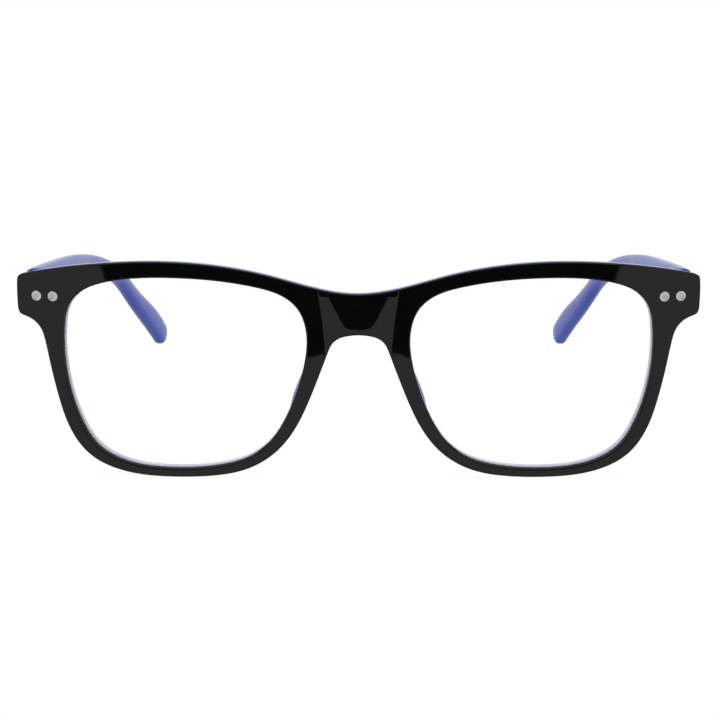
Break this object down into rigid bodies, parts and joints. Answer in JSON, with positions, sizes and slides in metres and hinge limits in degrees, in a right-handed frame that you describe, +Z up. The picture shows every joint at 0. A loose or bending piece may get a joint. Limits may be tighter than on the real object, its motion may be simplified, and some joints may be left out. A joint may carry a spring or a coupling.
{
  "type": "blue light glasses",
  "caption": "Full-rim glasses with a black front, blue inside and blue folding temples, clear lenses, riveted hinges.",
  "frame": {"origin": "on the table under the middle of the open glasses: centre of the bounding box in X and Y, Z 0 at the rims and temple tips that stand on the table", "axes": "+X to the wearer's left, +Y from the front back towards the ears, +Z up"},
  "size_m": [0.1402, 0.1493, 0.0447],
  "materials": {
    "frame_black": "polished black cellulose acetate",
    "frame_blue": "polished blue cellulose acetate",
    "temple_blue": "satin to gloss blue cellulose acetate",
    "lens_clear": "clear plastic lens with a faint violet-blue anti-reflection coating",
    "hinge_steel": "nickel silver, satin",
    "rivet_steel": "bright metal with a satin dished centre"
  },
  "bodies": {
    "front": {"front_outer_layer": "frame_black", "front_inner_layer": "frame_blue", "lens_left": "lens_clear", "nose_pad_left": "frame_blue", "front_hinge_leaf_left": "hinge_steel", "front_rivet_outer_left": "rivet_steel", "front_rivet_inner_left": "rivet_steel", "hinge_screw_left": "hinge_steel", "lens_right": "lens_clear", "nose_pad_right": "frame_blue", "front_hinge_leaf_right": "hinge_steel", "front_rivet_outer_right": "rivet_steel", "front_rivet_inner_right": "rivet_steel", "hinge_screw_right": "hinge_steel"},
    "temple_left": {"temple_left": "temple_blue", "temple_hinge_leaf_left": "hinge_steel", "temple_rivet_front_left": "rivet_steel", "temple_rivet_rear_left": "rivet_steel"},
    "temple_right": {"temple_right": "temple_blue", "temple_hinge_leaf_right": "hinge_steel", "temple_rivet_front_right": "rivet_steel", "temple_rivet_rear_right": "rivet_steel"}
  },
  "joints": [
    {"name": "temple_left_fold", "type": "hinge", "parent": "front", "child": "temple_left", "pos_m": [0.06281, -0.06155, 0.03712], "axis": [0, 0, 1], "range_deg": [0, 86]},
    {"name": "temple_right_fold", "type": "hinge", "parent": "front", "child": "temple_right", "pos_m": [-0.06281, -0.06155, 0.03712], "axis": [0, 0, -1], "range_deg": [0, 80]}
  ]
}
